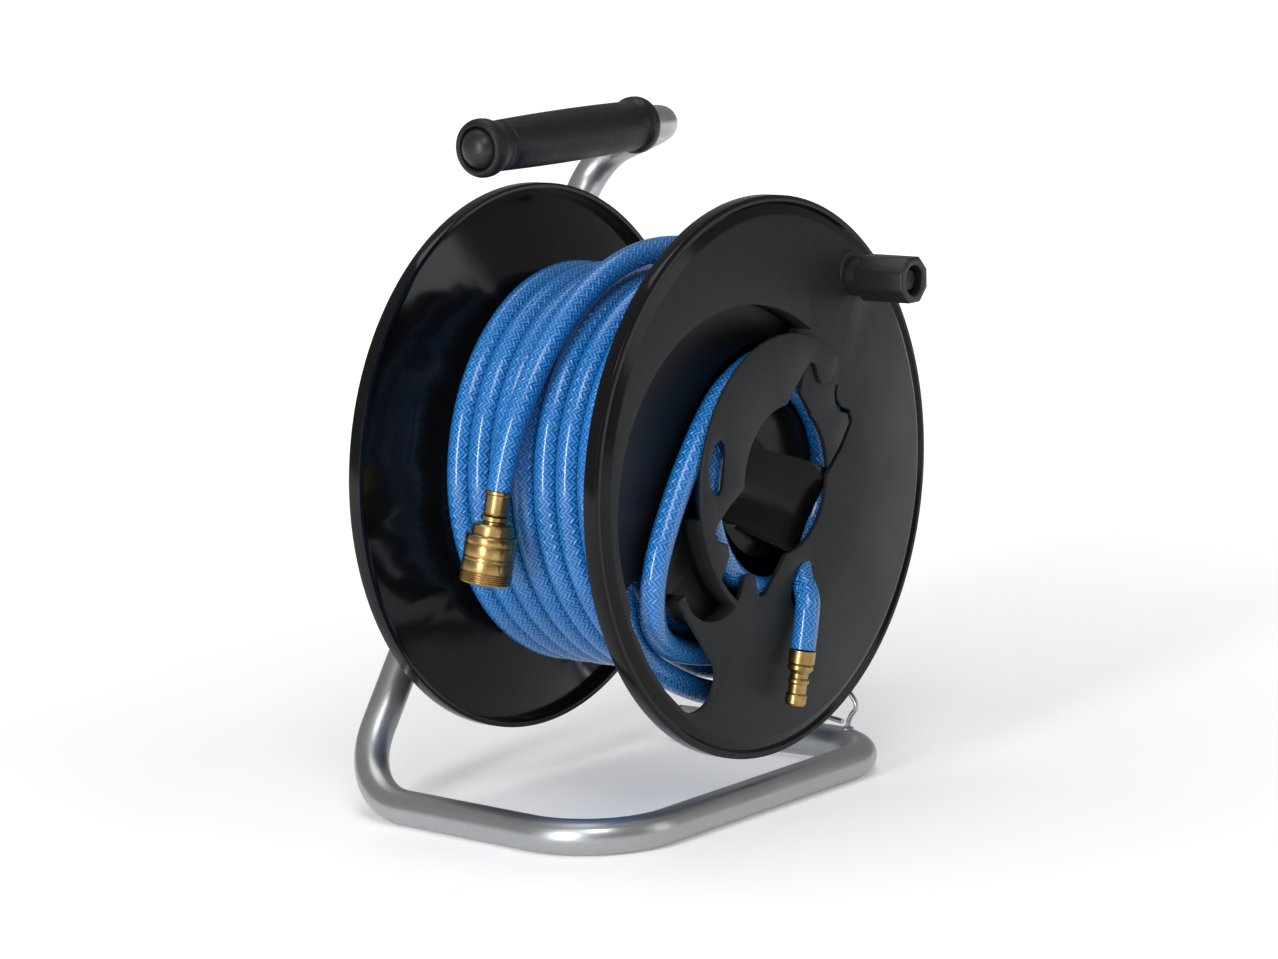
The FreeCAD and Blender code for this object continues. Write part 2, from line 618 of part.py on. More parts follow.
OUTER_END = [  # the last turn, over the winding: (radius, direction, place along the axle) of each corner
    (94, -200, -61.5), (98, -186, -61), (104, -171, -60.8), (109, -155, -60), (112.5, -140, -57.5),
    (110, -122, -58), (109.3, -100, -59.5), (109.3, -78, -59.5), (109.3, -55, -57.5),
    (109.3, -31, -52.5), (109.3, -7, -45), (109.3, 17, -36), (109.3, 41, -27),
    (109.3, 65, -19), (109.3, 89, -13), (109.3, 113, -10.5), (109.6, 137, -8.5), (111, 159, -4.5)]
OUTER_TAIL = [(-109.7, -1.5, 20), (-112, 0.4, 5)]  # and down to the coupling: (side, depth, height)
CHANNEL_RUN = [  # (radius, direction, place along the axle)
    (88, -110, -62), (93, -124, -62.5), (102, -138, -64.8), (108, -151, -73.4), (102, -164, -78.3),
    (82, -179, -77.6),
    (69, 162, -77.5), (63, 141, -77.3), (60, 121, -76), (57, 102, -73)]
INNER_END = [(16.5, -70, -43.5), (14.5, -80, -49.5), (9.5, -89.5, -57.5), (4.5, -91.6, -69),
             (1.5, -91.2, -82)]


def make_hose():
    for label, corners, last in (("hose_outer_end", OUTER_END, OUTER_TAIL),
                                 ("hose_channel_run", CHANNEL_RUN, [])):
        points = []
        for radius, direction, along in corners:
            side, height = polar(radius, direction)
            points.append((side, along, height))
        laid(label, points + last, size("hose_radius"))
    laid("hose_inner_end", INNER_END, size("hose_radius"))
    winding = turned("winding", [
        ("winding_inner", "winding_front"), ("winding_outer", "winding_front"),
        ("winding_outer", "winding_back"), ("winding_inner", "winding_back")])
    put(named(winding, "hose_winding"))
    coil = turned("hub_coil", [("coil_inner", "coil_front"), ("coil_outer", "coil_front"),
                               ("coil_outer", "coil_back"), ("coil_inner", "coil_back")])
    put(named(coil, "hose_hub_coil"))


def make_coupling():
    """A brass quick coupling that hangs on the winding. Its own +Y runs from the hose to the mouth."""
    hang = Vector(-0.15, 0.12, -0.98).normalize()
    turn = FreeCAD.Rotation(Vector(0, 1, 0), hang)
    origin = OUTER_TAIL[-1]

    def fitted(thing, label):
        return put(named(thing, label), *origin, turn)

    fitted(turned("ferrule",
                  [(5.4, 0), (6.6, 0.4), (6.6, 1.6), (6, 2.2), (5.7, 11), (6.1, 11.6), (3.2, 11.6),
                              (3.2, 10.6), (5.2, 10.2), (5.2, 0.8)]), "hose_ferrule")
    body = turned("coupling_shell", [
        (2.6, 1), (3.1, 1), (3.1, 11.65), (5, 11.65), (6.6, 12.4), (6.6, 14.2), (5.2, 15), (5.2, 16.2),
        (8.8, 16.2), (9.8, 17), (9.8, 24), (8.3, 24), (8.3, 41.6), (7.6, 42.2), (5.15, 42.2), (5.15, 37.9),
        (5.6, 37.9), (5.6, 34.1), (5.15, 34.1), (5.15, 30),
        (6.4, 28.8), (6.4, 19), (2.6, 17.5)])
    balls_at = new_sketch(body, "XY_Plane")
    ring(balls_at, 1.75, 0, 36)
    ball_hole = body.newObject("PartDesign::Pocket", "ball_hole")
    ball_hole.Profile = balls_at
    ball_hole.Midplane = True
    ball_hole.Length = 40
    doc.recompute()
    turned_hole = body.newObject("PartDesign::PolarPattern", "ball_holes")
    turned_hole.Originals = [ball_hole]
    turned_hole.Axis = (balls_at, ["V_Axis"])
    turned_hole.Angle = 90
    turned_hole.Occurrences = 2
    body.Tip = turned_hole
    doc.recompute()
    fitted(body, "coupling_body")
    fitted(turned("seal", [(4.6, 27.2), (6.35, 27.2), (6.35, 28.5), (4.6, 28.5)]), "valve_seal")
    fitted(turned("ring_body", [(8.32, 38.5), (9.35, 38.5), (9.35, 39.6), (8.32, 39.6)]), "snap_ring")

    balls = doc.addObject("Part::Compound", "balls")
    links = []
    for index in range(4):
        ball = doc.addObject("Part::Sphere", "ball_%d" % index)
        ball.Radius = 1.7
        side, height = polar(6.87, 90 * index)
        ball.Placement.Base = Vector(side, 36, height)
        links.append(ball)
    balls.Links = links
    fitted(balls, "locking_balls")

    fitted(turned("sleeve", [
        (9.95, 21.2), (11.6, 21.2), (12.3, 22), (12.3, 26.4), (11.9, 26.8), (11.9, 27.8), (12.3, 28.2),
        (12.3, 38.2), (11.9, 38.6), (11.9, 39.6), (12.3, 40), (12.3, 43.4), (11.4, 44.4), (9.5, 44.4),
        (9.5, 38.4), (8.6, 38.4), (8.6, 32.6), (9.95, 32.6)]), "coupling_sleeve")
    coil_of_wire("sleeve_spring", origin, hang, 9.25, 0.45, 24.6, 32, 3)
    fitted(turned("poppet", [
        (0, 23.6), (2.6, 23.6), (2.6, 24.4), (6.2, 24.4), (6.2, 27.15), (4.4, 27.15), (4.4, 30.4),
        (3.8, 31), (0, 31)]),
        "valve_poppet")
    coil_of_wire("valve_spring", origin, hang, 3.6, 0.4, 18.6, 23.95, 3)


def coil_of_wire(label, origin, axis, radius, wire_radius, start, stop, turns):
    """A compression spring between two stations along the coupling's axis, eight corners to the turn."""
    corner = radius / math.cos(math.radians(15))
    points = []
    for index in range(8 * turns + 1):
        across, along = polar(corner, 45 * index)
        points.append((across, along, (stop - start) * index / (8 * turns)))
    node = doc.addObject("Part::Feature", label)
    node.Shape = swept(rounded_route(points)[0], wire_radius)
    foot = Vector(*origin) + axis * start
    put(named(node, label), foot.x, foot.y, foot.z, FreeCAD.Rotation(Vector(0, 0, 1), axis))


def make_plug():
    """The nipple on the hose's inner end. Its own +Y runs from the hose to the nose."""
    hang = Vector(-0.16, 0.09, -0.98).normalize()
    turn = FreeCAD.Rotation(Vector(0, 1, 0), hang)
    origin = (1.5, -91.2, -82)

    def fitted(thing, label):
        return put(named(thing, label), *origin, turn)

    fitted(turned("plug_crimp", [(5.6, 0.05), (6.4, 0.4), (6.4, 6.4), (5.9, 7), (3.2, 7), (3.2, 0.05)]),
           "plug_ferrule")
    fitted(turned("plug", [
        (2.4, 0.05), (3.1, 0.05), (3.1, 7.05), (5.6, 7.05), (6.2, 7.8), (6.2, 9.4), (5.6, 10.2),
        (4.4, 11.6),
        (4.4, 13.6), (5.1, 14.6), (5.1, 16), (4.4, 17), (4.4, 21), (5.1, 22), (5.1, 26), (4.5, 27),
        (2.4, 27)]),
        "plug_nipple")


make_stand()
make_axle()
make_front_flange()
make_rear_flange()
make_core()
make_screws()
make_hub()
make_knob()
make_hose()
make_coupling()
make_plug()
doc.recompute()

# --- checks and export --------------------------------------------------------------------------------

bad = [thing.Name for thing in doc.Objects if "Invalid" in thing.State or "Error" in thing.State]
for label, thing in NODES.items():
    if thing.Shape.isNull() or not thing.Shape.isValid() or not thing.Shape.Solids:
        bad.append(label)
if bad:
    raise RuntimeError("these failed: " + ", ".join(bad))

os.makedirs("parts", exist_ok=True)
for label, thing in NODES.items():
    thing.Shape.exportStep("parts/%s.step" % label)
print("%d nodes" % len(NODES))
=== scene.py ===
"""Looks of the portable air-hose drum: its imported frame, one hose, moulded and turned pieces, and a studio.

Lengths are in metres. Stations of drum pieces are given in millimetres from the drum's middle: side is X,
depth is Y along the axle with the winding knob at the negative end, and height is Z above the axle.
"""

import math

import bmesh
import bpy
from mathutils import Matrix, Vector, noise


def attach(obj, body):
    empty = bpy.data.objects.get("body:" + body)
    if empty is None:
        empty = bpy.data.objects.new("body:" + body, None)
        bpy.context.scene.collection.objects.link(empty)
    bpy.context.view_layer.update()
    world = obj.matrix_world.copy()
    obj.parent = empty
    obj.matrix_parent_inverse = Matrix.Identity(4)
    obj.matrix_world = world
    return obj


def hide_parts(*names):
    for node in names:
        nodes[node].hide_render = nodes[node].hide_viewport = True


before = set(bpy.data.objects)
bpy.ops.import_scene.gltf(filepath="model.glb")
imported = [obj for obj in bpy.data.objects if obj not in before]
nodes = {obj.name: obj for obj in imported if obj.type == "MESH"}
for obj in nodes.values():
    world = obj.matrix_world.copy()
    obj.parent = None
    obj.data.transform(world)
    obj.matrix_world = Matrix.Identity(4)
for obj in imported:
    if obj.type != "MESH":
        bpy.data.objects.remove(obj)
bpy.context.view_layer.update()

AXLE = Vector((0.0, -0.00195, 0.163))
COUPLING_FOOT = (-112, 0.4, 5)
COUPLING_HANG = Vector((-0.15, 0.12, -0.98))
GRIP_MIDDLE = (0, 40, 160)
MM = 0.001


def at(side, depth, height):
    """A point of the drum, from its place in millimetres from the drum's middle."""
    return AXLE + Vector((side, depth, height)) * MM


def around(radius, degrees, depth):
    """A point of the drum by its distance from the axle and its direction across the flange."""
    turn = math.radians(degrees)
    return at(radius * math.cos(turn), depth, radius * math.sin(turn))


# --- material tools -----------------------------------------------------------------------------------


class Finish:
    """One material and short ways to add and join its nodes."""

    def __init__(self, name, color, roughness, metallic=0.0, **inputs):
        self.material = bpy.data.materials.new(name)
        self.material.use_nodes = True
        self.material.diffuse_color = (*color, 1.0)
        self.tree = self.material.node_tree
        self.shader = self.tree.nodes["Principled BSDF"]
        self.shader.inputs["Base Color"].default_value = (*color, 1.0)
        self.shader.inputs["Roughness"].default_value = roughness
        self.shader.inputs["Metallic"].default_value = metallic
        for key, value in inputs.items():
            self.shader.inputs[key.replace("_", " ")].default_value = value
        self.coordinates = self.tree.nodes.new("ShaderNodeTexCoord")

    def node(self, kind, **settings):
        made = self.tree.nodes.new("ShaderNode" + kind)
        for key, value in settings.items():
            setattr(made, key, value)
        return made

    def link(self, source, target):
        self.tree.links.new(source, target)
        return source

    def plug(self, target, value):
        """Joins a socket, or sets a plain number or colour."""
        if isinstance(value, bpy.types.NodeSocket):
            self.link(value, target)
        else:
            target.default_value = value

    def math(self, operation, first, second=0.0):
        made = self.node("Math", operation=operation)
        self.plug(made.inputs[0], first)
        self.plug(made.inputs[1], second)
        return made.outputs[0]

    def moved(self, where):
        """Object coordinates, moved."""
        made = self.node("Mapping", vector_type="POINT")
        self.link(self.coordinates.outputs["Object"], made.inputs["Vector"])
        made.inputs["Location"].default_value = where
        return made.outputs[0]

    def noise(self, scale, detail=2.0, roughness=0.5):
        """A cloudy pattern, as spots of 1 / scale metres."""
        made = self.node("TexNoise")
        self.link(self.coordinates.outputs["Object"], made.inputs["Vector"])
        made.inputs["Scale"].default_value = scale
        made.inputs["Detail"].default_value = detail
        made.inputs["Roughness"].default_value = roughness
        return made.outputs["Fac"]

    def cells(self, scale, feature="F1"):
        """Distance from the middles of small cells, scale of them to a metre."""
        made = self.node("TexVoronoi", feature=feature)
        self.link(self.coordinates.outputs["Object"], made.inputs["Vector"])
        made.inputs["Scale"].default_value = scale
        return made.outputs["Distance"]

    def spread(self, value, low, high, into_low, into_high):
        """Takes a range to another, held at its ends."""
        made = self.node("MapRange", clamp=True)
        self.plug(made.inputs["Value"], value)
        made.inputs["From Min"].default_value = low
        made.inputs["From Max"].default_value = high
        made.inputs["To Min"].default_value = into_low
        made.inputs["To Max"].default_value = into_high
        return made.outputs["Result"]

    def mix(self, share, first, second):
        made = self.node("Mix", data_type="RGBA")
        self.plug(made.inputs[0], share)
        self.plug(made.inputs[6], first if not isinstance(first, tuple) else (*first, 1.0))
        self.plug(made.inputs[7], second if not isinstance(second, tuple) else (*second, 1.0))
        return made.outputs[2]

    def blend_value(self, share, first, second):
        made = self.node("Mix", data_type="FLOAT")
        self.plug(made.inputs[0], share)
        self.plug(made.inputs[2], first)
        self.plug(made.inputs[3], second)
        return made.outputs[0]

    def bump(self, height, strength, distance):
        made = self.node("Bump")
        self.link(height, made.inputs["Height"])
        made.inputs["Strength"].default_value = strength
        made.inputs["Distance"].default_value = distance
        previous = self.shader.inputs["Normal"].links
        if previous:
            self.link(previous[0].from_socket, made.inputs["Normal"])
        self.link(made.outputs["Normal"], self.shader.inputs["Normal"])

    def color(self, value):
        self.link(value, self.shader.inputs["Base Color"])

    def rough(self, value):
        self.link(value, self.shader.inputs["Roughness"])

    def off_axle(self):
        """Distance from the drum's axle in millimetres, and place along it in metres."""
        split = self.node("SeparateXYZ")
        self.link(self.moved((-AXLE.x, 0, -AXLE.z)), split.inputs[0])
        flat = self.node("CombineXYZ")
        self.link(split.outputs["X"], flat.inputs["X"])
        self.link(split.outputs["Z"], flat.inputs["Z"])
        length = self.node("VectorMath", operation="LENGTH")
        self.link(flat.outputs[0], length.inputs[0])
        return self.math("MULTIPLY", length.outputs["Value"], 1000.0), split.outputs["Y"]


def moulded_flange():
    """Black plastic: a finely grained satin field between a glossy rim and a smooth trough."""
    finish = Finish("moulded_flange", (0.011, 0.012, 0.014), 0.35, Specular_IOR_Level=0.17)
    radius, depth = finish.off_axle()
    rim = finish.spread(radius, 125.2, 126.4, 0.0, 1.0)
    sunk = finish.spread(depth, -0.0775, -0.0765, 0.0, 1.0)
    inner = finish.spread(radius, 118.0, 119.0, 1.0, 0.0)
    trough = finish.math("MULTIPLY", sunk, inner)
    polished = finish.math("MAXIMUM", rim, trough)
    grain = finish.cells(2300.0)
    cloud = finish.noise(22.0, 3.0)
    fine = finish.noise(1500.0, 2.0)
    satin = finish.math("ADD", finish.spread(cloud, 0.3, 0.7, 0.42, 0.50),
                        finish.spread(fine, 0.2, 0.8, -0.02, 0.05))
    finish.rough(finish.blend_value(polished, satin, finish.blend_value(trough, 0.13, 0.38)))
    field = finish.mix(finish.spread(fine, 0.35, 0.7, 0.0, 1.0), (0.009, 0.010, 0.011), (0.017, 0.019, 0.020))
    finish.color(finish.mix(polished, field, (0.004, 0.004, 0.0045)))
    matte = finish.math("SUBTRACT", 1.0, polished)
    finish.bump(finish.math("MULTIPLY", grain, matte), 0.16, 0.0001)
    finish.bump(finish.noise(60.0, 2.0), 0.03, 0.0006)
    return finish.material


def polished_flange():
    """Black plastic as it comes from a polished mould, with a faint flow and fine dust scratches."""
    finish = Finish("polished_flange", (0.003, 0.003, 0.0034), 0.12, Specular_IOR_Level=0.26)
    cloud = finish.noise(16.0, 3.0)
    speck = finish.noise(900.0, 3.0, 0.7)
    finish.rough(finish.math("ADD", finish.spread(cloud, 0.3, 0.7, 0.09, 0.17),
                             finish.spread(speck, 0.6, 0.8, 0.0, 0.06)))
    finish.bump(finish.noise(34.0, 2.0), 0.04, 0.0008)
    return finish.material


def plain_black(name, shade, roughness, grain=1700.0, depth=0.2, gloss=0.3):
    """Moulded black plastic with a fine even grain."""
    finish = Finish(name, (shade, shade, shade * 1.08), roughness, Specular_IOR_Level=gloss)
    cells = finish.cells(grain)
    cloud = finish.noise(40.0, 3.0)
    finish.rough(finish.spread(cloud, 0.3, 0.7, roughness - 0.05, roughness + 0.06))
    finish.color(finish.mix(finish.spread(cells, 0.1, 0.7, 0.0, 1.0), (shade * 0.7,) * 3, (shade * 1.5,) * 3))
    finish.bump(cells, depth, 0.00012)
    return finish.material


def grip_rubber():
    """Soft black grip with a leather-like grain that is rubbed smoother in its middle."""
    finish = Finish("grip_rubber", (0.012, 0.012, 0.013), 0.5, Specular_IOR_Level=0.28)
    pebbles = finish.cells(620.0, "SMOOTH_F1")
    creases = finish.noise(1200.0, 4.0, 0.6)
    wear = finish.noise(28.0, 4.0)
    finish.rough(finish.spread(wear, 0.3, 0.7, 0.36, 0.56))
    finish.color(finish.mix(finish.spread(pebbles, 0.1, 0.6, 0.0, 1.0),
                            (0.010, 0.010, 0.011), (0.004, 0.004, 0.005)))
    finish.bump(pebbles, 0.30, 0.00035)
    finish.bump(creases, 0.12, 0.00012)
    return finish.material


def silver_paint():
    """Silver-grey metallic powder coat with fine orange peel."""
    finish = Finish("silver_paint", (0.34, 0.35, 0.36), 0.34, 0.9)
    flakes = finish.cells(3200.0)
    peel = finish.noise(420.0, 2.0)
    cloud = finish.noise(30.0, 3.0)
    finish.color(finish.mix(finish.spread(flakes, 0.1, 0.7, 0.0, 1.0),
                            (0.30, 0.31, 0.32), (0.44, 0.45, 0.46)))
    finish.rough(finish.spread(cloud, 0.3, 0.7, 0.30, 0.38))
    finish.bump(peel, 0.10, 0.0002)
    finish.bump(flakes, 0.05, 0.00008)
    return finish.material


def turned_brass():
    """Turned brass, dulled brown in patches and brighter on its lands."""
    finish = Finish("turned_brass", (0.50, 0.33, 0.12), 0.28, 1.0)
    tarnish = finish.noise(160.0, 4.0, 0.6)
    specks = finish.noise(1100.0, 3.0, 0.7)
    finish.color(finish.mix(finish.spread(tarnish, 0.3, 0.75, 0.0, 1.0),
                            (0.46, 0.31, 0.12), (0.20, 0.125, 0.045)))
    finish.rough(finish.math("ADD", finish.spread(tarnish, 0.3, 0.75, 0.22, 0.38),
                             finish.spread(specks, 0.5, 0.8, 0.0, 0.08)))
    wave = finish.node("TexWave", wave_type="BANDS", bands_direction="Z")
    finish.link(finish.coordinates.outputs["Object"], wave.inputs["Vector"])
    wave.inputs["Scale"].default_value = 900.0
    wave.inputs["Distortion"].default_value = 1.5
    finish.bump(wave.outputs["Fac"], 0.10, 0.00006)
    return finish.material


def bright_steel(name, color, roughness):
    """Zinc-plated steel with a faint cloudiness."""
    finish = Finish(name, color, roughness, 1.0)
    cloud = finish.noise(260.0, 4.0, 0.6)
    finish.rough(finish.spread(cloud, 0.3, 0.7, roughness - 0.07, roughness + 0.1))
    darker = tuple(channel * 0.78 for channel in color)
    finish.color(finish.mix(finish.spread(cloud, 0.35, 0.75, 0.0, 1.0), color, darker))
    finish.bump(finish.noise(1500.0, 2.0), 0.06, 0.0001)
    return finish.material


def acetal():
    """Milky white bearing plastic that lets a little light in."""
    finish = Finish("acetal", (0.72, 0.72, 0.68), 0.42, Subsurface_Weight=0.1)
    finish.shader.inputs["Subsurface Radius"].default_value = (0.002, 0.002, 0.0015)
    cloud = finish.noise(120.0, 3.0)
    finish.color(finish.mix(cloud, (0.76, 0.76, 0.72), (0.66, 0.66, 0.62)))
    finish.bump(finish.noise(900.0, 2.0), 0.08, 0.0001)
    return finish.material


def nitrile():
    """Matte black seal rubber."""
    finish = Finish("nitrile", (0.01, 0.01, 0.01), 0.55)
    finish.bump(finish.noise(1400.0, 3.0), 0.2, 0.0001)
    return finish.material


def braided_hose():
    """Blue cover shrunk over crossing yarns. The UV map holds metres along the hose and turns round it."""
    yarns_per_metre, yarns_round = 400.0, 14.0
    finish = Finish("braided_hose", (0.003, 0.105, 0.36), 0.30, Coat_Weight=0.55, Coat_Roughness=0.12)
    split = finish.node("SeparateXYZ")
    finish.link(finish.coordinates.outputs["UV"], split.inputs[0])
    along = finish.math("MULTIPLY", split.outputs["X"], yarns_per_metre)
    round_it = finish.math("MULTIPLY", split.outputs["Y"], yarns_round)
    left = finish.math("ADD", along, round_it)
    right = finish.math("SUBTRACT", along, round_it)

    def ridge(total):
        """A thread's height across a repeat, from 0 at its edges to 1 along its middle."""
        off_middle = finish.math("ABSOLUTE", finish.math("SUBTRACT", finish.math("FRACT", total), 0.5))
        return finish.spread(off_middle, 0.14, 0.42, 1.0, 0.0)

    # each yarn passes over two others and under two, so a yarn's pairs of threads come and go along it
    over = finish.math("FRACT", finish.math("MULTIPLY", finish.math("ADD", finish.math("FLOOR", left),
                                                                    finish.math("FLOOR", right)), 0.25))
    upper = finish.math("LESS_THAN", over, 0.49)
    lower = finish.math("SUBTRACT", 1.0, upper)
    stitch = finish.math("ADD", finish.math("MULTIPLY", ridge(left), upper),
                         finish.math("MULTIPLY", ridge(right), lower))
    cloud = finish.noise(35.0, 2.0)
    cover = finish.mix(finish.spread(cloud, 0.3, 0.7, 0.0, 1.0), (0.001, 0.052, 0.22), (0.001, 0.068, 0.28))
    finish.color(finish.mix(finish.math("MULTIPLY", stitch, 0.85), cover, (0.018, 0.23, 0.60)))
    finish.rough(finish.spread(cloud, 0.3, 0.7, 0.24, 0.34))
    finish.bump(stitch, 0.9, 0.00035)
    return finish.material


MOULDED = moulded_flange()
POLISHED = polished_flange()
CORE = plain_black("core_plastic", 0.02, 0.5)
BOSS = plain_black("boss_plastic", 0.003, 0.20, 1400.0, 0.08, 0.12)
KNOB = plain_black("knob_plastic", 0.008, 0.34, 1500.0, 0.22)
CAPS = plain_black("cap_plastic", 0.009, 0.36, 1500.0, 0.16)
GRIP = grip_rubber()
PAINT = silver_paint()
BRASS = turned_brass()
ZINC = bright_steel("zinc_plate", (0.56, 0.57, 0.58), 0.30)
WIRE = bright_steel("zinc_wire", (0.50, 0.51, 0.52), 0.28)
BLACKED = bright_steel("blacked_steel", (0.035, 0.035, 0.038), 0.42)
SPRING = bright_steel("spring_wire", (0.42, 0.42, 0.43), 0.32)
BALL = bright_steel("ball_steel", (0.66, 0.66, 0.67), 0.10)
ACETAL = acetal()
NITRILE = nitrile()
HOSE = braided_hose()

COATS = {
    "frame_tube": PAINT, "handle_grip": GRIP, "grip_end_cap": CAPS, "foot_end_cap": CAPS, "wire_eye": WIRE,
    "axle_bolt": ZINC, "saddle_washer": ZINC, "saddle_spacer": CAPS, "thrust_washer": ZINC,
    "front_washer": ZINC, "lock_nut": ZINC, "front_bush": ACETAL, "rear_bush": ACETAL,
    "front_flange": MOULDED, "rear_flange": POLISHED, "drum_core": CORE, "front_flange_screws": ZINC,
    "rear_flange_screws": ZINC, "hub_boss": BOSS, "hose_retainer": MOULDED, "knob_spindle": KNOB,
    "spindle_nut": ZINC, "knob_screw": BLACKED, "winding_knob": KNOB, "hose_ferrule": BRASS,
    "coupling_body": BRASS, "valve_seal": NITRILE, "snap_ring": SPRING, "locking_balls": BALL,
    "coupling_sleeve": BRASS, "sleeve_spring": SPRING, "valve_poppet": BRASS, "valve_spring": SPRING,
    "plug_ferrule": BRASS, "plug_nipple": BRASS,
}
for name, coat in COATS.items():
    mesh = nodes[name].data
    for index in range(len(mesh.materials)):
        mesh.materials[index] = coat


# --- mesh tools ---------------------------------------------------------------------------------------


def piece(name, bm, coat, body, stands_for=(), sharp=40.0):
    """Turns a finished bmesh, already in its place, into a piece that rides on a body."""
    bmesh.ops.recalc_face_normals(bm, faces=bm.faces)
    for face in bm.faces:
        face.smooth = True
    for edge in bm.edges:
        edge.smooth = len(edge.link_faces) != 2 or edge.calc_face_angle(0.0) < math.radians(sharp)
    mesh = bpy.data.meshes.new(name)
    bm.to_mesh(mesh)
    bm.free()
    mesh.materials.append(coat)
    made = bpy.data.objects.new(name, mesh)
    bpy.context.scene.collection.objects.link(made)
    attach(made, body)
    if stands_for:
        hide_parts(*stands_for)


def eased(bm, width, segments=2, angle=24.0):
    """Rounds the edges of a shape that turn by more than an angle, by a width in metres."""
    sharp = [edge for edge in bm.edges
             if len(edge.link_faces) == 2 and edge.calc_face_angle(0.0) > math.radians(angle)]
    bmesh.ops.bevel(bm, geom=sharp, offset=width, offset_type="OFFSET", segments=segments, profile=0.5,
                    affect="EDGES", clamp_overlap=True, material=-1)
    return bm


def softened(node, name, coat, body, width, segments=2):
    """A CAD node's shape with its sharp edges rounded."""
    bm = bmesh.new()
    bm.from_mesh(nodes[node].data)
    bmesh.ops.remove_doubles(bm, verts=bm.verts, dist=0.000002)
    bmesh.ops.dissolve_limit(bm, angle_limit=math.radians(0.6), use_dissolve_boundaries=False,
                             verts=bm.verts, edges=bm.edges, delimit=set())
    eased(bm, width, segments, 25.0)
    bmesh.ops.triangulate(bm, faces=[face for face in bm.faces if len(face.verts) > 4])
    piece(name, bm, coat, body, (node,), sharp=50.0)


def lathe(outline, foot, along, steps=96, closed=True):
    """A shape spun round a line from an outline of (radius, station) in millimetres along it."""
    axis = Vector(along).normalized()
    out = axis.orthogonal().normalized()
    bm = bmesh.new()
    corners = [bm.verts.new(foot + (axis * station + out * radius) * MM) for radius, station in outline]
    following = corners[1:] + corners[:1] if closed else corners[1:]
    edges = [bm.edges.new(pair) for pair in zip(corners, following)]
    bmesh.ops.spin(bm, geom=corners + edges, cent=foot, axis=axis, dvec=(0, 0, 0), angle=math.tau,
                   steps=steps, use_merge=True, use_duplicate=False)
    bmesh.ops.remove_doubles(bm, verts=bm.verts, dist=0.000001)
    bmesh.ops.recalc_face_normals(bm, faces=bm.faces)
    return bm


def cross_recess(bm, top, axis, side, reach, half_width, depth):
    """Sinks a cross into the flat top of a screw head."""
    other = axis.cross(side)
    for direction in (side, other):
        for offset in (-reach, -half_width, half_width, reach):
            bmesh.ops.bisect_plane(bm, geom=bm.verts[:] + bm.edges[:] + bm.faces[:], dist=0.0000001,
                                   plane_co=top + direction * offset, plane_no=direction)
    arms = []
    for face in bm.faces:
        middle = face.calc_center_median() - top
        if abs(middle.dot(axis)) > 0.0001 or face.normal.dot(axis) < 0.9:
            continue
        across, upward = abs(middle.dot(side)), abs(middle.dot(other))
        if min(across, upward) < half_width and max(across, upward) < reach:
            arms.append(face)
    sunk = bmesh.ops.extrude_face_region(bm, geom=arms)
    moved = [item for item in sunk["geom"] if isinstance(item, bmesh.types.BMVert)]
    bmesh.ops.delete(bm, geom=[face for face in arms if face.is_valid], context="FACES")
    bmesh.ops.translate(bm, verts=moved, vec=axis * -depth)


def rear_screws():
    """Four pan-head screws with cross recesses, from the back of the rear flange into the core's posts."""
    axis, side = Vector((0, 1, 0)), Vector((1, 0, 0))
    single = lathe([(0, 38.4), (1.2, 38.6), (1.6, 39.4), (1.6, 54.74), (3.6, 54.74), (3.6, 55.6), (3.4, 56.2),
                    (3.0, 56.7), (2.4, 57.0), (0, 57.0)], at(0, 0, 0), axis, 40, closed=False)
    cross_recess(single, at(0, 57.0, 0), axis, side, 0.0017, 0.00045, 0.0011)
    pattern = bpy.data.meshes.new("screw_pattern")
    single.to_mesh(pattern)
    single.free()
    bm = bmesh.new()
    for angle in (22.5, 112.5, 202.5, 292.5):
        known = set(bm.verts)
        bm.from_mesh(pattern)
        bmesh.ops.translate(bm, verts=[vert for vert in bm.verts if vert not in known],
                            vec=around(60, angle, 0) - AXLE)
    bpy.data.meshes.remove(pattern)
    piece("rear_screw_set", bm, ZINC, "drum", ("rear_flange_screws",), sharp=30.0)


def grip_pieces():
    """The grip sleeve with its two rolled collars and a fine groove, and the domed cap in its end."""
    foot, along = at(*GRIP_MIDDLE), Vector((1, 0, 0))
    sleeve = lathe([
        (10.4, -71.2), (11.4, -72), (12.6, -71.7), (13.6, -70.6), (14.1, -69), (14.2, -67.2), (14.0, -65.2),
        (13.4, -63.2), (12.7, -61.6), (12.3, -60.2), (12.2, -58.6), (12.25, -56), (11.5, -55.6),
        (11.5, -54.4), (12.3, -54), (12.45, -47), (12.65, -36), (12.8, -24), (12.9, -10), (12.9, 4),
        (12.8, 18), (12.65, 30),
        (12.45, 40), (12.3, 47), (12.7, 48.6), (13.5, 49.8), (14.1, 51.2), (14.2, 52.8), (14.1, 54.6),
        (13.6, 56.1), (12.6, 57), (8.64, 57), (8.64, -67.9), (10.4, -67.9)], foot, along)
    eased(sleeve, 0.0002, angle=20.0)
    piece("grip_sleeve", sleeve, GRIP, "stand", ("handle_grip",), sharp=60.0)
    dome = lathe([
        (0, -76.4), (2.0, -76.25), (4.0, -75.8), (5.9, -74.9), (7.6, -73.6), (9.0, -71.9), (9.9, -69.9),
        (10.2, -68.6), (10.2, -68.1), (0, -68.1)], foot, along, closed=False)
    eased(dome, 0.0002, angle=40.0)
    piece("grip_dome", dome, CAPS, "stand", ("grip_end_cap",), sharp=50.0)


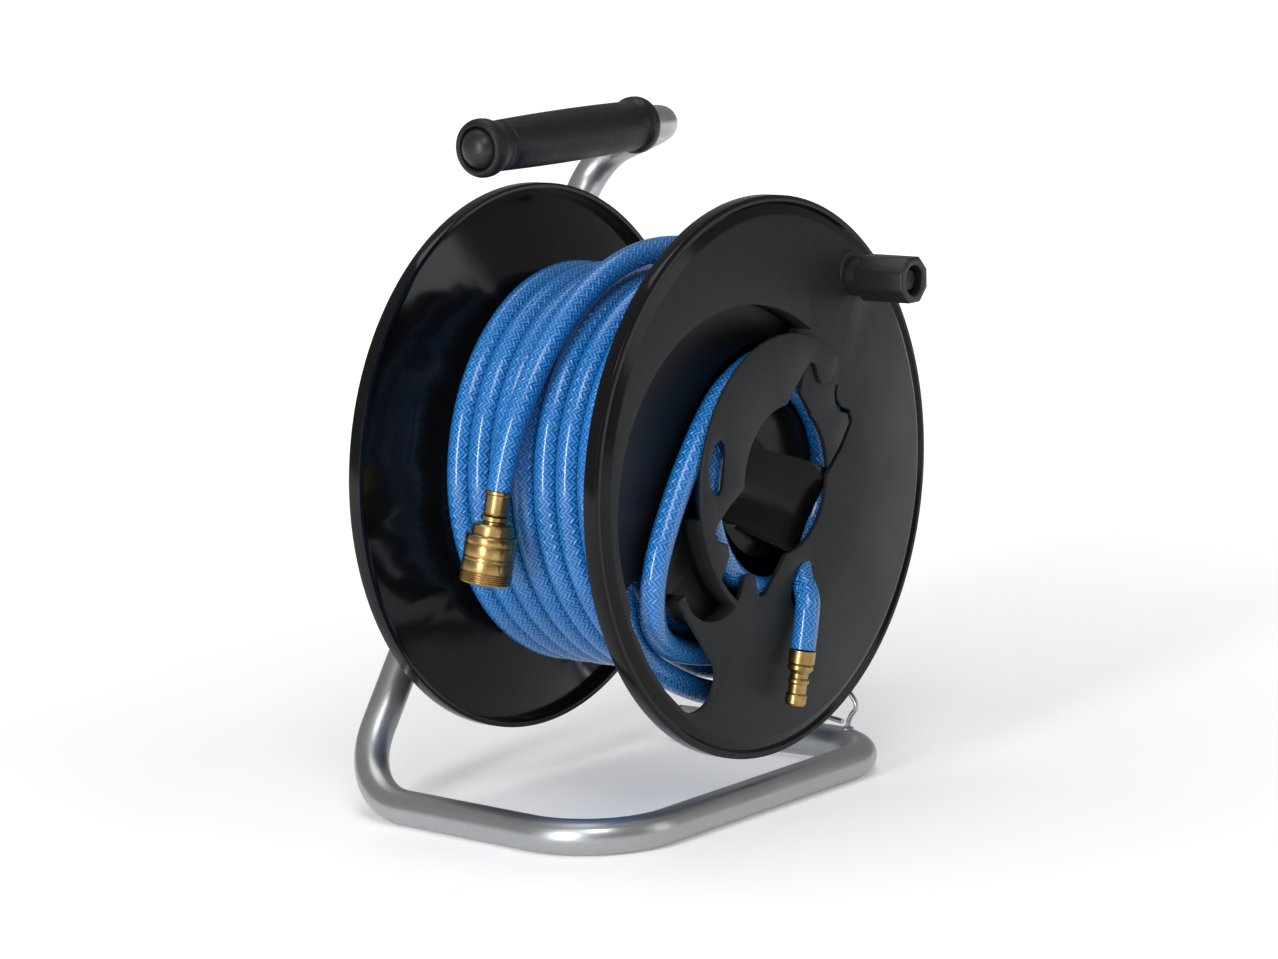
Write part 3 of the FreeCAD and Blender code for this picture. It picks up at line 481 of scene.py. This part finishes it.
def coupling_sleeve_piece():
    """The coupling's sliding sleeve: a stepped band, two turned lines and a ringed mouth."""
    outline = [(9.95, 21.2), (11.3, 21.2), (12.0, 21.7), (12.3, 22.4), (12.3, 25.3), (11.95, 25.5),
               (11.95, 25.9), (12.3, 26.1), (12.3, 31.2), (12.0, 31.35), (12.0, 31.75), (12.3, 31.9),
               (12.3, 33.1), (12.0, 33.25), (12.0, 33.65), (12.3, 33.8), (12.3, 38.5)]
    for ring in range(5):
        start = 38.7 + ring
        outline += [(11.8, start), (11.8, start + 0.25), (12.3, start + 0.45), (12.3, start + 0.8)]
    outline += [(12.0, 43.9), (11.3, 44.4), (9.5, 44.4), (9.5, 38.4), (8.6, 38.4), (8.6, 32.6), (9.95, 32.6)]
    bm = lathe(outline, at(*COUPLING_FOOT), COUPLING_HANG, 120)
    eased(bm, 0.0001)
    piece("coupling_sleeve_turned", bm, BRASS, "sleeve", ("coupling_sleeve",), sharp=35.0)


def eye_weld():
    """The lumpy bead that holds the wire eye's foot on the tube."""
    bm = bmesh.new()
    bmesh.ops.create_uvsphere(bm, u_segments=40, v_segments=20, radius=0.0029)
    for vert in bm.verts:
        push = noise.noise(vert.co * 900.0) * 0.00045 + 0.00018 * math.sin(vert.co.x * 5200.0)
        vert.co += vert.co.normalized() * push
        vert.co.z *= 0.62
    bmesh.ops.translate(bm, verts=bm.verts, vec=at(104, -45, -146.0))
    piece("eye_weld", bm, PAINT, "stand", sharp=60.0)


softened("front_flange", "front_flange_moulding", MOULDED, "drum", 0.0007)
softened("rear_flange", "rear_flange_moulding", POLISHED, "drum", 0.0005)
softened("hose_retainer", "retainer_plate", MOULDED, "drum", 0.0006)
softened("hub_boss", "hub_boss_moulding", BOSS, "drum", 0.0012, 3)
softened("winding_knob", "winding_knob_moulding", KNOB, "knob", 0.0009, 3)
softened("axle_bolt", "axle_bolt_forged", ZINC, "stand", 0.0005)
grip_pieces()
coupling_sleeve_piece()
rear_screws()
eye_weld()


# --- hose ---------------------------------------------------------------------------------------------

FIRST_LAYER, SECOND_LAYER = 82.3, 94.2  # radius of the hose's middle in each layer
FRONT_TURN, REAR_TURN = -62.3, 46.15  # depth of each layer's first and last turn
TURNS = 9
FIRST_POINTS, SECOND_POINTS = 13, 15  # control points to a turn


def hose_route():
    """The hose's control points, from its plug through the hub pocket and both layers to its coupling."""
    route = [at(1.5, -91.2, -82), at(4.5, -91.6, -69), at(9.5, -89.5, -57.5), at(14.5, -81, -50)]
    for step in range(17):  # a turn and a half in the pocket, close round the boss and then outside it
        turned = step * 32.0
        radius = min(59.5, 44.4 + 12.3 * turned / 360)
        route.append(around(radius, -58 + turned, -74.6 + 0.6 * math.sin(turned)))
    for radius, direction, depth in (
            (60, 124, -75.8), (63, 142, -77.2), (69, 162, -77.5), (82, 181, -77.6), (102, 196, -78.3),
            (108, 209, -73.4), (102, 222, -64.8), (93, 236, -62.5), (86, 252, -62.3)):
        route.append(around(radius, direction, depth))
    start = 270
    there = TURNS * FIRST_POINTS + 3
    for step in range(there):  # away from the knob
        share = min(1.0, step / (TURNS * FIRST_POINTS))
        route.append(around(FIRST_LAYER, start + step * 360 / FIRST_POINTS,
                            FRONT_TURN + share * (REAR_TURN - FRONT_TURN)))
    start += there * 360 / FIRST_POINTS
    back = TURNS * SECOND_POINTS - 7
    for step in range(back):  # and back over them, a little unevenly
        share = min(1.0, max(0.0, step - 1) / (back - 3))
        sway = 0.35 * math.sin(step * 0.9) if share < 0.98 else 0.0
        route.append(around(SECOND_LAYER + 0.25 * math.sin(step * 1.7), start + step * 360 / SECOND_POINTS,
                            REAR_TURN + share * (FRONT_TURN - REAR_TURN) + sway))
    for radius, direction, depth in (
            (98, -184, -61.3), (104, -171, -60.8), (109, -155, -60), (113, -140, -57.5), (107, -120, -58.5),
            (106.5, -100, -60), (106.5, -78, -60), (107.5, -55, -57.5), (109, -31, -52.5), (109.3, -7, -45),
            (109.3, 17, -36), (109.3, 41, -27), (109.3, 65, -19), (109.3, 89, -13), (109.3, 113, -10.5),
            (109.6, 137, -8.5), (111, 159, -4.5)):
        route.append(around(radius, direction, depth))
    return route + [at(-109.7, -1.5, 20), at(*COUPLING_FOOT)]


def make_hose():
    """One NURBS line, and the tube along it with a UV map in metres."""
    line = bpy.data.curves.new("hose_line", "CURVE")
    line.dimensions = "3D"
    line.resolution_u = 8
    spline = line.splines.new("NURBS")
    route = hose_route()
    spline.points.add(len(route) - 1)
    for point, place in zip(spline.points, route):
        point.co = (*place, 1.0)
    spline.order_u = 3
    spline.use_endpoint_u = True
    holder = bpy.data.objects.new("hose_line", line)
    bpy.context.scene.collection.objects.link(holder)
    bpy.context.view_layer.update()
    bare = bpy.data.meshes.new_from_object(holder)
    path = [vertex.co.copy() for vertex in bare.vertices]
    line.bevel_depth = 0.006
    line.bevel_resolution = 6
    line.use_fill_caps = True
    bpy.context.view_layer.update()
    tube = bpy.data.meshes.new_from_object(holder)
    tube.name = "air_hose"
    bpy.data.objects.remove(holder)
    bpy.data.curves.remove(line)

    reach = [0.0]
    for before, after in zip(path, path[1:]):
        reach.append(reach[-1] + (after - before).length)
    uv = tube.uv_layers.active
    last = len(path) - 1
    for loop in uv.data:
        place = min(max(loop.uv[0], 0.0), 1.0) * last
        low = min(int(place), last - 1)
        loop.uv[0] = reach[low] + (reach[low + 1] - reach[low]) * (place - low)
    for polygon in tube.polygons:
        polygon.use_smooth = len(polygon.vertices) == 4
    tube.materials.clear()
    tube.materials.append(HOSE)
    hose = bpy.data.objects.new("air_hose", tube)
    bpy.context.scene.collection.objects.link(hose)
    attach(hose, "drum")
    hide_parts("hose_winding", "hose_outer_end", "hose_channel_run", "hose_hub_coil", "hose_inner_end")


make_hose()


# --- studio -------------------------------------------------------------------------------------------


def floor_material():
    """White paper that is lit up from beneath, more so away from the object."""
    finish = Finish("floor_paper", (0.86, 0.86, 0.86), 0.8, Specular_IOR_Level=0.1)
    finish.color(finish.mix(finish.noise(3.0, 2.0), (0.85, 0.85, 0.85), (0.88, 0.88, 0.88)))
    finish.bump(finish.noise(300.0, 2.0), 0.02, 0.0005)
    finish.shader.inputs["Emission Color"].default_value = (1, 1, 1, 1)
    reach = finish.node("VectorMath", operation="LENGTH")
    finish.link(finish.coordinates.outputs["Object"], reach.inputs[0])
    finish.link(finish.spread(reach.outputs["Value"], 0.25, 1.6, 0.22, 0.85),
                finish.shader.inputs["Emission Strength"])
    return finish.material


def make_floor():
    """A sheet of the paper that runs well past the view."""
    bm = bmesh.new()
    bmesh.ops.create_grid(bm, x_segments=1, y_segments=1, size=6.0)
    mesh = bpy.data.meshes.new("floor")
    bm.to_mesh(mesh)
    bm.free()
    mesh.materials.append(floor_material())
    floor = bpy.data.objects.new("floor", mesh)
    bpy.context.scene.collection.objects.link(floor)


def area_light(name, place, size, power):
    """A soft rectangular lamp that points at the drum's middle."""
    lamp = bpy.data.lights.new(name, "AREA")
    lamp.shape = "RECTANGLE"
    lamp.size, lamp.size_y = size
    lamp.energy = power
    made = bpy.data.objects.new(name, lamp)
    made.location = place
    made.rotation_euler = (AXLE - Vector(place)).to_track_quat("-Z", "Y").to_euler()
    bpy.context.scene.collection.objects.link(made)


def make_camera():
    """A long lens that looks down at the knob's side from its left, leaning a little."""
    distance, off_right, off_up = 2.341, -0.00243, -0.00653
    azimuth, tilt, roll = math.radians(-52.77), math.radians(9.54), math.radians(-1.59)
    back = Vector((math.sin(azimuth) * math.cos(tilt), -math.cos(azimuth) * math.cos(tilt), math.sin(tilt)))
    level = Vector((math.cos(azimuth), math.sin(azimuth), 0))
    upright = back.cross(level)
    right = level * math.cos(roll) + upright * math.sin(roll)
    up = upright * math.cos(roll) - level * math.sin(roll)
    lens = bpy.data.cameras.new("camera")
    lens.sensor_width = 36.0
    lens.lens = 135.6
    lens.clip_end = 50.0
    made = bpy.data.objects.new("camera", lens)
    place = AXLE + right * off_right + up * off_up + back * distance
    turn = Matrix((right, up, back)).transposed().to_4x4()
    made.matrix_world = Matrix.Translation(place) @ turn
    bpy.context.scene.collection.objects.link(made)
    bpy.context.scene.camera = made


def make_studio():
    """The floor, four lamps and an even white surrounding."""
    make_floor()
    area_light("key", (-1.3, -1.1, 1.9), (0.8, 0.8), 16)
    area_light("strip", (-1.9, -0.2, 0.55), (0.30, 1.3), 30)
    area_light("front", (0.9, -1.9, 0.7), (0.7, 1.2), 5)
    area_light("over", (0.2, 0.3, 2.1), (1.4, 1.4), 12)
    world = bpy.data.worlds.new("studio")
    world.use_nodes = True
    world.node_tree.nodes["Background"].inputs["Color"].default_value = (1, 1, 1, 1)
    world.node_tree.nodes["Background"].inputs["Strength"].default_value = 0.28
    bpy.context.scene.world = world
    bpy.context.scene.view_settings.view_transform = "Standard"


make_studio()
make_camera()


def corners(box):
    """A box as plain numbers."""
    return [[float(value) for value in corner] for corner in box]
